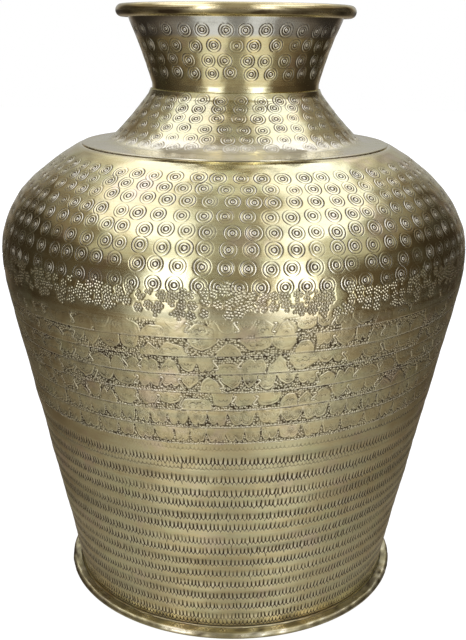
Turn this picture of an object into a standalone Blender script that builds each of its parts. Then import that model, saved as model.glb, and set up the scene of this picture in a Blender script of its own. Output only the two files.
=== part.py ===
"""Brass kalash: a large free-standing water pot of hammered sheet brass.

The pot is four spun or rolled sheet-brass shells (neck, collar, shoulder and
lower body) and a base plate, lapped over each other and joined with rings of
brazing metal.  The mouth's lip is rolled round a stiffening wire, and so is
the edge of the base plate, which makes the foot.

Frame: metres, +Z up, origin at the centre of the circle the foot rests on.
All dimensions below are in millimetres and are scaled by MM when used.
"""
import math

import bpy

MM = 0.001

# ------------------------------------------------------------------ dimensions
HEIGHT = 560.0            # top of the rolled rim
SHEET = 1.0               # sheet brass thickness
CLEAR = 0.3               # space left between lapped pieces
SEGMENTS = 60             # facets round the pot

BELLY_RADIUS = 222.3      # widest point, outside
BELLY_Z = 336.0
TAPER = 0.2062            # lean of the lower wall, radius per height
TAPER_TOP_Z = 302.5       # the straight wall ends here and rolls into the belly

LEDGE_RADIUS = 144.7      # outer edge of the flat ledge on the shoulder
LEDGE_Z = 436.4
SHOULDER_POWER = 2.318    # fullness of the shoulder's curve

WAIST_RADIUS = 78.0       # plain band where neck meets collar
WAIST_Z = 487.0
NECK_CURVE_Z = 490.0      # the funnel's curve starts here
NECK_FLARE = 0.27
NECK_BELL = 0.0016

COLLAR_TOP_RADIUS = 79.7
COLLAR_TOP_Z = 485.2
CONE_FLARE = 0.762
CONE_BELL = 0.00309

RIM_RADIUS = 110.5        # outside of the rolled rim
RIM_ROLL = 5.75           # outside radius of the roll's section
RIM_WIRE = 4.0            # radius of the stiffening wire in the rim
RIM_LIP_END = -115.0      # angle at which the rolled lip ends, degrees

FOOT_RADIUS = 168.9       # outside of the foot
FOOT_ROLL = 3.5           # outside radius of the foot roll's section
FOOT_WIRE = 1.9           # radius of the stiffening wire in the foot
FOOT_LIP_RADIUS = 159.4   # inner edge of the lip turned over the foot flange
REST_RADIUS = 140.0       # inside of the flat ring the pot rests on
BASE_RISE = 3.0           # the base is dished up by this much at its centre

LAP_INNER_RADIUS = 126.0  # inner edge of the shoulder's turned-in top
SKIRT_Z = 322.0           # lower end of the shoulder's joggled skirt
FLANGE_RADIUS = 162.6     # outer edge of the lower body's turned-out foot
FLANGE_Z = 5.2            # top face of that flange

BRASS = (0.56, 0.47, 0.25, 1.0)


# ------------------------------------------------------------------ scene setup
for old in list(bpy.data.objects):
    bpy.data.objects.remove(old, do_unlink=True)

parts = bpy.data.collections.new("brass_kalash")
bpy.context.scene.collection.children.link(parts)


# ------------------------------------------------------------------ shape rules
def body_radius(z):
    """Outside radius of the lower body and the shoulder at height z."""
    if z >= BELLY_Z:
        t = (z - BELLY_Z) / (LEDGE_Z - BELLY_Z)
        return BELLY_RADIUS - (BELLY_RADIUS - LEDGE_RADIUS) * t ** SHOULDER_POWER
    span = BELLY_Z - TAPER_TOP_Z
    corner = BELLY_RADIUS - 0.5 * TAPER * span
    if z >= TAPER_TOP_Z:
        t = z - TAPER_TOP_Z
        return corner + TAPER * t - 0.5 * TAPER * t * t / span
    return corner - TAPER * (TAPER_TOP_Z - z)


def neck_radius(z):
    """Outside radius of the funnel neck at height z."""
    t = max(0.0, z - NECK_CURVE_Z)
    return WAIST_RADIUS + 0.2 + NECK_FLARE * t + NECK_BELL * t * t


def cone_radius(z):
    """Outside radius of the collar's cone at height z."""
    t = COLLAR_TOP_Z - 4.9 - z
    return COLLAR_TOP_RADIUS + 2.0 + CONE_FLARE * t + CONE_BELL * t * t


def spaced(a, b, count):
    """count + 1 evenly spaced values from a to b."""
    return [a + (b - a) * i / count for i in range(count + 1)]


def arc(cr, cz, radius, start, end, count):
    """Points on a section arc; angles in degrees, 0 pointing outwards."""
    return [(cr + radius * math.cos(math.radians(a)),
             cz + radius * math.sin(math.radians(a)))
            for a in spaced(start, end, count)]


# ------------------------------------------------------------------ construction
def brass(name, colour, roughness):
    mat = bpy.data.materials.new(name)
    mat.use_nodes = True
    bsdf = mat.node_tree.nodes["Principled BSDF"]
    bsdf.inputs["Base Color"].default_value = colour
    bsdf.inputs["Metallic"].default_value = 1.0
    bsdf.inputs["Roughness"].default_value = roughness
    mat.diffuse_color = colour
    return mat


def turned(name, profile, colour, roughness, thickness=None, closed=False):
    """A piece turned about Z from a section profile of (radius, height).

    An open profile is the sheet's visible face, and thickness is the sheet
    behind it.  A closed profile is the whole section of a solid ring.
    """
    count = len(profile)
    edges = [(i, i + 1) for i in range(count - 1)]
    if closed:
        edges.append((count - 1, 0))
    mesh = bpy.data.meshes.new(name)
    mesh.from_pydata([(r * MM, 0.0, z * MM) for r, z in profile], edges, [])
    obj = bpy.data.objects.new(name, mesh)
    parts.objects.link(obj)
    screw = obj.modifiers.new("turn", "SCREW")
    screw.axis = "Z"
    screw.angle = 2.0 * math.pi
    screw.steps = SEGMENTS
    screw.render_steps = SEGMENTS
    screw.use_merge_vertices = True
    screw.merge_threshold = 0.00001
    screw.use_smooth_shade = True
    if thickness is not None:
        shell = obj.modifiers.new("sheet", "SOLIDIFY")
        shell.thickness = thickness * MM
        shell.offset = -1.0
        shell.use_even_offset = True
        shell.use_rim = True
    mesh.materials.append(brass(name + "_brass", colour, roughness))
    return obj


def wire_ring(name, radius, height, wire, colour, roughness):
    """A round wire bent into a ring that lies inside a rolled edge."""
    bpy.ops.mesh.primitive_torus_add(
        major_segments=SEGMENTS, minor_segments=8,
        major_radius=radius * MM, minor_radius=wire * MM,
        location=(0.0, 0.0, height * MM))
    obj = bpy.context.active_object
    obj.name = name
    obj.data.name = name
    for coll in list(obj.users_collection):
        coll.objects.unlink(obj)
    parts.objects.link(obj)
    obj.data.shade_smooth()
    obj.data.materials.append(brass(name + "_rod", colour, roughness))
    return obj


# ------------------------------------------------------------------ neck funnel
# The profile is the face towards the axis: up the throat, over the rim and
# round the wire, ending in the lip's free edge under the roll.
RIM_CENTRE_R = RIM_RADIUS - RIM_ROLL
RIM_CENTRE_Z = HEIGHT - RIM_ROLL
throat = [(WAIST_RADIUS - SHEET, 475.5), (WAIST_RADIUS - SHEET, WAIST_Z)]
for z in (494.0, 506.0, 520.0, 534.0, 546.0):
    throat.append((neck_radius(z) - SHEET * 1.07, z))
roll = arc(RIM_CENTRE_R, RIM_CENTRE_Z, RIM_ROLL, 180.0, RIM_LIP_END, 8)
turned("neck_funnel", throat + roll, BRASS, 0.34, thickness=SHEET)

wire_ring("rim_wire", RIM_CENTRE_R, RIM_CENTRE_Z, RIM_WIRE,
          (0.50, 0.42, 0.24, 1.0), 0.45)

# ------------------------------------------------------------------ collar
# A cone that stands on a flat ledge; the ledge laps over the shoulder.
cone = [(COLLAR_TOP_RADIUS, COLLAR_TOP_Z)]
for z in (480.3, 470.5, 461.0, 451.2):
    cone.append((cone_radius(z), z))
ledge = [(112.9, 444.6), (117.6, 440.7), (123.4, 438.3),
         (133.5, 436.9), (LEDGE_RADIUS, LEDGE_Z)]
turned("collar_cone", cone + ledge, BRASS, 0.32, thickness=SHEET)

# ------------------------------------------------------------------ shoulder
# Turned-in top under the ledge, full curve down to the belly, then a joggled
# skirt that slips inside the lower body.
lap_z = LEDGE_Z - SHEET - CLEAR
shoulder = [(LAP_INNER_RADIUS, lap_z), (LEDGE_RADIUS + 1.6, lap_z)]
for z in (431.0, 424.0, 415.0, 404.0, 391.0, 376.0, 359.0):
    shoulder.append((body_radius(z), z))
shoulder += [(BELLY_RADIUS, 340.6),
             (BELLY_RADIUS - SHEET - CLEAR, 337.4),
             (BELLY_RADIUS - SHEET - CLEAR - 0.7, SKIRT_Z)]
turned("shoulder_shell", shoulder, BRASS, 0.30, thickness=SHEET)

# ------------------------------------------------------------------ lower body
wall = []
for z in (336.6, 328.0, 316.0, TAPER_TOP_Z, 205.0, 105.0, 7.7):
    wall.append((body_radius(z), z))
foot_r = body_radius(7.7)
flange = [(foot_r + 0.4, FLANGE_Z + 1.0), (foot_r + 1.6, FLANGE_Z),
          (FLANGE_RADIUS, FLANGE_Z)]
turned("lower_body", wall + flange, BRASS, 0.40, thickness=SHEET)

# ------------------------------------------------------------------ base plate
# The lip folded over the flange, the roll round the foot wire, the flat ring
# the pot rests on, and the dished centre.
FOOT_CENTRE_R = FOOT_RADIUS - FOOT_ROLL
base = [(FOOT_LIP_RADIUS, 2.0 * FOOT_ROLL)]
base += arc(FOOT_CENTRE_R, FOOT_ROLL, FOOT_ROLL, 90.0, -90.0, 6)
base += [(REST_RADIUS, 0.0), (REST_RADIUS - 7.0, BASE_RISE - 0.8),
         (0.0, BASE_RISE)]
turned("base_plate", base, BRASS, 0.36, thickness=SHEET)

wire_ring("foot_wire", FOOT_CENTRE_R, FOOT_ROLL, FOOT_WIRE,
          (0.50, 0.42, 0.24, 1.0), 0.45)

# ------------------------------------------------------------------ brazed joints
# Each is a fillet of brazing metal on the inside of a lap.
BRAZE = (0.62, 0.52, 0.33, 1.0)
foot_of_neck = WAIST_RADIUS + 0.35
turned("waist_braze",
       [(foot_of_neck, 483.0), (foot_of_neck + 0.95, 480.6),
        (foot_of_neck + 4.3, 475.4), (foot_of_neck, 475.4)],
       BRAZE, 0.5, closed=True)

lap_end = LAP_INNER_RADIUS - 0.4
turned("collar_braze",
       [(lap_end, lap_z + 1.3), (lap_end, lap_z - 1.8),
        (lap_end - 8.4, lap_z + 3.9), (lap_end - 3.4, lap_z + 1.8)],
       BRAZE, 0.5, closed=True)

turned("belly_braze",
       [(body_radius(SKIRT_Z) - SHEET - 0.42, SKIRT_Z - 0.5),
        (body_radius(SKIRT_Z - 9.5) - SHEET - 0.38, SKIRT_Z - 9.5),
        (body_radius(SKIRT_Z) - SHEET - 2.3, SKIRT_Z - 0.5)],
       BRAZE, 0.5, closed=True)

under = FLANGE_Z - SHEET - CLEAR
turned("base_braze",
       [(foot_r - 1.7, 7.4), (foot_r - 1.1, 5.0), (foot_r + 0.7, under - 0.1),
        (FLANGE_RADIUS - 0.3, under - 0.1), (FLANGE_RADIUS - 0.3, SHEET + CLEAR),
        (foot_r - 10.0, SHEET + CLEAR)],
       BRAZE, 0.5, closed=True)
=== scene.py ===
"""Looks for the hammered brass kalash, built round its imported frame.

Every sheet piece is a lathe grid whose punched marks are real relief: ring
punches on the neck, collar and shoulder, clustered beads over the belly seam,
a lobed scroll band under it, and rows of tooth punches down to the foot.
All working lengths here are millimetres; MM turns them into scene units.
"""
import math

import bpy
import numpy as np
from mathutils import Matrix, Vector


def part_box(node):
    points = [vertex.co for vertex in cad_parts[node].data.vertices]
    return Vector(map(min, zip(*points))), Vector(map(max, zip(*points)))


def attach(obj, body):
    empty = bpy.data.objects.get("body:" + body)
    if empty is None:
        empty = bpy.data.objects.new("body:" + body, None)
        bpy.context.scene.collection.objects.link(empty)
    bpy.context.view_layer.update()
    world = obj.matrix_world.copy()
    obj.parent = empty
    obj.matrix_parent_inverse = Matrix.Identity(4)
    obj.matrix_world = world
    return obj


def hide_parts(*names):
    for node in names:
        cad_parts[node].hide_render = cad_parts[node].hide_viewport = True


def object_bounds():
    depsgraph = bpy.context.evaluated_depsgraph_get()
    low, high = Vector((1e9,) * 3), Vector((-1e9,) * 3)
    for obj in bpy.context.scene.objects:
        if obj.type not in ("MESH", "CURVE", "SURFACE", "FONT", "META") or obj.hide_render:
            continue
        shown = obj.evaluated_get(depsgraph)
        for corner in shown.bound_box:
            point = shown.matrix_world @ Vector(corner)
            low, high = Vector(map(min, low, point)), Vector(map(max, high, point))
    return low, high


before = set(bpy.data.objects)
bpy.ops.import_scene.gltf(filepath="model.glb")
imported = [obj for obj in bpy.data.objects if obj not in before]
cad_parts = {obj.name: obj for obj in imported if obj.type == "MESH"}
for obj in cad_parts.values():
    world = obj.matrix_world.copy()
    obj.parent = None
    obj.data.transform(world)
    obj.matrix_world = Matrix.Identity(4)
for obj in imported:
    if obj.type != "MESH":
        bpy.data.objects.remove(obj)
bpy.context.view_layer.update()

MM = 0.001
TAU = 2.0 * math.pi
DENSITY = 1.0             # mesh density of the sheet pieces


def corner_mm(node):
    lo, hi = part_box(node)
    return np.array(lo) / MM, np.array(hi) / MM


# ------------------------------------------------------------ sizes from the frame
neck_lo, neck_hi = corner_mm("neck_funnel")
collar_lo, collar_hi = corner_mm("collar_cone")
body_lo, body_hi = corner_mm("lower_body")
base_lo, base_hi = corner_mm("base_plate")
shoulder_lo, shoulder_hi = corner_mm("shoulder_shell")

SHEET = 1.0
RIM_R = float(neck_hi[0])                 # outside of the rolled rim
RIM_TOP = float(neck_hi[2]) + 0.1
ROLL = 5.75
LEDGE_R = float(collar_hi[0])
LEDGE_Z = 436.4
BELLY_R = float(body_hi[0])
BELLY_Z = 336.0
SEAM_Z = float(body_hi[2])                # top edge of the lower body
FOOT_R = float(base_hi[0])
FOOT_ROLL = float(base_hi[2]) / 2.0
TAPER = 0.2062
TAPER_TOP = 302.5


def body_radius(z):
    z = np.asarray(z, float)
    t = np.clip((z - BELLY_Z) / (LEDGE_Z - BELLY_Z), 0.0, 1.2)
    upper = BELLY_R - (BELLY_R - LEDGE_R) * t ** 2.318
    span = BELLY_Z - TAPER_TOP
    corner = BELLY_R - 0.5 * TAPER * span
    u = z - TAPER_TOP
    turn = corner + TAPER * u - 0.5 * TAPER * u * u / span
    return np.where(z >= BELLY_Z, upper,
                    np.where(z >= TAPER_TOP, turn, corner + TAPER * u))


def neck_radius(z):
    t = np.maximum(0.0, np.asarray(z, float) - 490.0)
    return 78.2 + 0.27 * t + 0.0016 * t * t


def cone_radius(z):
    t = 480.3 - np.asarray(z, float)
    return 81.7 + 0.762 * t + 0.00309 * t * t


# ------------------------------------------------------------ smooth random fields
def waves(th, s, seed, count, m_max, wavelength):
    """Smooth field over (rows s, columns th), periodic round the pot, about +-1."""
    rng = np.random.RandomState(seed)
    out = np.zeros((len(s), len(th)), np.float32)
    for _ in range(count):
        m = rng.randint(0, m_max + 1)
        q = TAU / (wavelength * rng.uniform(0.7, 1.8)) * rng.choice([-1, 1])
        p = rng.uniform(0, TAU)
        a = (m * th).astype(np.float32)
        b = (q * s + p).astype(np.float32)
        out += (np.outer(np.cos(b), np.cos(a)) - np.outer(np.sin(b), np.sin(a))).astype(np.float32)
    return out / math.sqrt(count / 2.0) * 0.5


def lattice(th, s, radius, cell, seed):
    """Value noise with cells of a given size in mm, periodic round the pot, 0..1."""
    rng = np.random.RandomState(seed)
    nu = max(4, int(round(TAU * radius / cell)))
    nv = int((s.max() - s.min()) / cell) + 4
    grid = rng.rand(nv, nu).astype(np.float32)
    u = (th % TAU) / TAU * nu
    v = (s - s.min()) / cell + 0.5
    iu, iv = np.floor(u).astype(int), np.floor(v).astype(int)
    fu, fv = (u - iu).astype(np.float32), (v - iv).astype(np.float32)
    fu, fv = fu * fu * (3 - 2 * fu), fv * fv * (3 - 2 * fv)
    iu0, iu1 = iu % nu, (iu + 1) % nu
    iv1 = np.minimum(iv + 1, nv - 1)
    top = grid[iv][:, iu0] * (1 - fu) + grid[iv][:, iu1] * fu
    bot = grid[iv1][:, iu0] * (1 - fu) + grid[iv1][:, iu1] * fu
    return top * (1 - fv)[:, None] + bot * fv[:, None]


def smooth(x, a, b):
    t = np.clip((x - a) / (b - a), 0.0, 1.0)
    return t * t * (3.0 - 2.0 * t)


# ------------------------------------------------------------ a face to strike marks on
class Face:
    """The relief of one sheet's outer face: h is height in mm along the
    profile's normal, dark is how much patina a point holds plus painted shade
    where some is added, bright is rubbed metal plus painted highlight."""

    def __init__(self, s, r, z, th):
        self.s, self.r, self.z, self.th = s, r, z, th
        self.h = np.zeros((len(s), len(th)), np.float32)
        self.dark = np.zeros_like(self.h)
        self.bright = np.zeros_like(self.h)
        self.step = th[1] - th[0]

    def s_at(self, z):
        """Arc position of a height on this face; z falls as s grows."""
        return float(np.interp(-z, -self.z, self.s))

    def patch(self, th0, s0, reach):
        """Indices and local coordinates (dx right, dy down) round a point."""
        i0, i1 = np.searchsorted(self.s, [s0 - reach, s0 + reach])
        if i1 <= i0:
            return None
        r0 = float(np.interp(s0, self.s, self.r))
        half = reach / r0
        j0 = int(math.ceil((th0 - half - self.th[0]) / self.step))
        j1 = int(math.floor((th0 + half - self.th[0]) / self.step))
        js = np.arange(j0, j1 + 1)
        dx = (js * self.step + self.th[0] - th0)[None, :] * self.r[i0:i1, None]
        dy = (self.s[i0:i1] - s0)[:, None] + 0.0 * dx
        return np.ix_(np.arange(i0, i1), js % len(self.th)), dx, dy


def ring_punch(face, th0, s0, size, depth, lean, flat=1.0):
    """Struck circles round a dot.  The sheet curves away from the punch, so the
    outer circle bites harder at its left and right."""
    got = face.patch(th0, s0, size * 1.2)
    if got is None:
        return
    ix, dx, dy = got
    dy = dy * flat
    d = np.hypot(dx, dy)
    blow = depth * (1.0 + 0.35 * (dx * math.cos(lean) + dy * math.sin(lean)) / size)
    sides = 0.12 + 0.95 * np.abs(dx) / (d + 0.3)
    mid = 0.45 + 0.70 * np.abs(dx) / (d + 0.3)
    groove = np.zeros_like(d)
    ridge = np.zeros_like(d)
    for rho, share, wide in ((0.26, 1.55, 0.48), (0.58, mid, 0.38), (0.97, sides, 0.38)):
        groove += share * np.exp(-((d - rho * size) / wide) ** 2)
        ridge += share * np.exp(-((d - rho * size + 0.72) / 0.30) ** 2)
    face.h[ix] += (blow * (-0.21 * groove + 0.10 * ridge)).astype(np.float32)
    face.dark[ix] += (blow * groove * 1.7).astype(np.float32)
    # bright on the lips beside the grooves: rubbed metal plus painted highlight, pale glints on the ring lines
    face.bright[ix] += (blow * ridge * 1.15).astype(np.float32)


def bead_punch(face, th0, s0, radius, turn, rng):
    """A round punch with hollows in its face leaves a patch of beads."""
    spots = [(0.0, 0.0)]
    pitch = 2.75
    for ring_no in (1, 2):
        count = 6 * ring_no
        for k in range(count):
            a = turn + TAU * (k + 0.5 * ring_no) / count
            x = pitch * ring_no * 0.95 * math.cos(a) + rng.uniform(-0.35, 0.35)
            y = pitch * ring_no * 0.95 * math.sin(a) + rng.uniform(-0.35, 0.35)
            if math.hypot(x, y) < radius * rng.uniform(0.66, 1.22):
                spots.append((x, y))
    got = face.patch(th0, s0, radius * 1.35)
    if got is None:
        return
    ix, dx, dy = got
    beads = np.zeros_like(dx)
    near = np.zeros_like(dx)
    for bx, by in spots:
        q = (dx - bx) ** 2 + (dy - by) ** 2
        beads = np.maximum(beads, np.exp(-(q / 0.88 ** 2)))
        near = np.maximum(near, np.exp(-(q / 1.62 ** 2) ** 2))
    face.h[ix] = (face.h[ix] * (1 - near) + (-0.50 + 0.88 * beads) * near).astype(np.float32)
    face.dark[ix] = (face.dark[ix] * (1 - near) + 1.9 * (1 - beads) ** 2.1 * near ** 1.5).astype(np.float32)
    # bright on the bead tops: painted highlight for their sparkle, with rubbed metal
    face.bright[ix] = (face.bright[ix] * (1 - near) + np.minimum(2.0 * beads ** 3, 0.66) * near).astype(np.float32)


def stroke(face, th0, s0, pts, width, height):
    """A raised curved stroke through local points (dx, dy), dy downwards."""
    reach = max(max(abs(x), abs(y)) for x, y in pts) + 2.0 * width
    got = face.patch(th0, s0, reach)
    if got is None:
        return
    ix, dx, dy = got
    best = np.full_like(dx, 1e9)
    for (x0, y0), (x1, y1) in zip(pts[:-1], pts[1:]):
        ex, ey = x1 - x0, y1 - y0
        t = np.clip(((dx - x0) * ex + (dy - y0) * ey) / (ex * ex + ey * ey + 1e-9), 0, 1)
        best = np.minimum(best, np.hypot(dx - x0 - t * ex, dy - y0 - t * ey))
    core = np.exp(-(best / width) ** 2)
    edge = np.exp(-((best - 1.9 * width) / (0.7 * width)) ** 2)
    m = np.exp(-(best / (2.3 * width)) ** 4)
    face.h[ix] = (face.h[ix] * (1 - m) + m * (height * core - 0.30 * edge)).astype(np.float32)
    face.dark[ix] = (face.dark[ix] * (1 - m) + m * 0.95 * edge).astype(np.float32)
    # bright along the stroke's crest: rubbed metal plus painted highlight
    face.bright[ix] = (face.bright[ix] * (1 - m) + m * 0.72 * core).astype(np.float32)


def spiral(zs, th, rising, closed_ends=False):
    """Heights of rows that run into each other round the pot like a thread.
    zs are the heights at the front; each row meets its neighbour at the back."""
    out = []
    for k, z in enumerate(zs):
        up = zs[k - 1] - z if k else 0.0
        down = z - zs[k + 1] if k + 1 < len(zs) else 0.0
        right, left = (up, down) if rising else (-down, -up)
        out.append(z + np.where(th > 0, right, left) * th / TAU)
    return out


def ring_rows(face, rows, spacing, size, seed, depth=1.0, thread=False, flat=1.0):
    """Rows of ring punches at the given heights, spaced a little unevenly."""
    rng = np.random.RandomState(seed)
    th_line = np.linspace(-math.pi, math.pi, 181)
    lines = spiral(rows, th_line, rising=False) if thread else [z + 0 * th_line for z in rows]
    for line in lines:
        s_mid = face.s_at(float(line[90]))
        r0 = float(np.interp(s_mid, face.s, face.r))
        count = int(round(TAU * r0 / spacing))
        drift = rng.uniform(0.2, 0.8)
        phase = rng.uniform(0, TAU)
        start = rng.uniform(0, 1)
        gap = 0.0
        for j in range(count):
            gap = 0.5 * gap + rng.normal(0, 0.07)
            a = TAU * (j + start + gap) / count - math.pi
            a = (a + math.pi) % TAU - math.pi
            s0 = face.s_at(float(np.interp(a, th_line, line)))
            s0 += drift * math.sin(a + phase) + rng.normal(0, 0.4)
            ring_punch(face, a, s0, size * rng.uniform(0.94, 1.05),
                       depth * rng.choice([0.7, 0.9, 1.0, 1.15]) * rng.uniform(0.85, 1.1),
                       rng.uniform(0, TAU), flat)


def tooth_row(face, line, height, seed, depth=1.0, pitch=3.55, fade=None):
    """A row of upright pointed marks on a scalloped base line.  line is the
    height of the row's middle at each column."""
    rng = np.random.RandomState(seed)
    th = face.th
    wobble = np.cos(0.5 * th) ** 2
    z_row = line - 0.18 * height + 0.35 * np.sin(3 * th + rng.uniform(0, TAU)) * wobble
    row_s = np.interp(-z_row, -face.z, face.s)
    i0, i1 = np.searchsorted(face.s, [row_s.min() - height - 3.0, row_s.max() + 4.5])
    if i1 <= i0:
        return
    r0 = float(np.interp(row_s.mean(), face.s, face.r))
    n = int(round(TAU * r0 / pitch))
    phase = (th + math.pi) / TAU * n
    phase = phase + wobble * (0.30 * np.sin(3 * th + rng.uniform(0, TAU))
                              + 0.15 * np.sin(11 * th + rng.uniform(0, TAU)))
    k = np.floor(phase).astype(int) % n
    off = rng.normal(0, 0.06, n)
    tall = 0.72 * height * (1 + rng.normal(0, 0.10, n))
    deep = depth * rng.uniform(0.8, 1.2, n)
    lean = rng.normal(0.0, 0.08, n)
    drop = rng.normal(0, 0.22, n)
    slow = 0.85 + 0.25 * np.sin(2 * th + rng.uniform(0, TAU)) * np.sin(5 * th + rng.uniform(0, TAU))
    y = (row_s + drop[k])[None, :] - face.s[i0:i1, None]           # up from the base line
    x = ((phase - np.floor(phase)) - 0.5 - off[k])[None, :] * pitch - lean[k][None, :] * y
    up = np.clip(y / tall[k][None, :], 0.0, 1.0)
    e = np.abs(x) / (0.5 * pitch)
    half = 0.74 * (1.0 - up) ** 0.7 + 0.30
    inside = np.clip(1.0 - np.abs(x) / half, 0.0, 1.0)
    spike = inside ** 0.6 * smooth(y, -0.7, 0.0) * (up < 1.0) * (1.0 - 0.45 * up)
    vee = y + 0.32 * height * e ** 1.35
    base = np.exp(-(vee / 0.58) ** 2)
    under = np.exp(-((vee + 1.25) / 0.55) ** 2)
    power = (deep[k] * slow)[None, :]
    if fade is not None:
        power = power * fade[None, :]
    cut = power * np.maximum(spike, 0.95 * base)
    bar = np.clip(e * 1.7 - 0.6, 0, 1) * np.exp(-((y - 0.12 * height) / (0.40 * height)) ** 2) * (vee > 0.2)
    valley = np.exp(-((y - 0.12 * height) / (0.62 * height)) ** 2)
    if fade is not None:
        valley = valley * fade[None, :]
    face.h[i0:i1] += (-0.26 * cut + 0.07 * power * bar - 0.07 * depth * valley + 0.05 * power * under).astype(np.float32)
    face.dark[i0:i1] += (2.25 * np.clip(cut, 0, 1.1)).astype(np.float32)
    # bright on the bars between teeth and just under each row: painted highlight, with rubbed metal
    face.bright[i0:i1] += (power * (0.55 * bar + 0.16 * under)).astype(np.float32)


def pebbles(face, i0, i1, cell, seed):
    """Pebble bumps, 0..1, on a jittered grid."""
    rng = np.random.RandomState(seed)
    s = face.s[i0:i1]
    nu = int(round(TAU * float(face.r[i0:i1].mean()) / cell))
    u = (face.th + math.pi) / TAU * nu
    v = (s - s[0]) / cell + 1.0
    nv = int(v.max()) + 4
    jx = rng.uniform(0.15, 0.85, (nv, nu))
    jy = rng.uniform(0.15, 0.85, (nv, nu))
    iu, iv = np.floor(u).astype(int), np.floor(v).astype(int)
    best = np.full((len(s), len(u)), 9.0, np.float32)
    for a in (-1, 0, 1):
        for b in (-1, 0, 1):
            cu, cv = (iu + a) % nu, iv + b
            px = (iu + a)[None, :] + jx[cv][:, cu]
            py = cv[:, None] + jy[cv][:, cu]
            best = np.minimum(best, ((u[None, :] - px) ** 2 + (v[:, None] - py) ** 2).astype(np.float32))
    return np.exp(-best / 0.36 ** 2)


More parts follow.
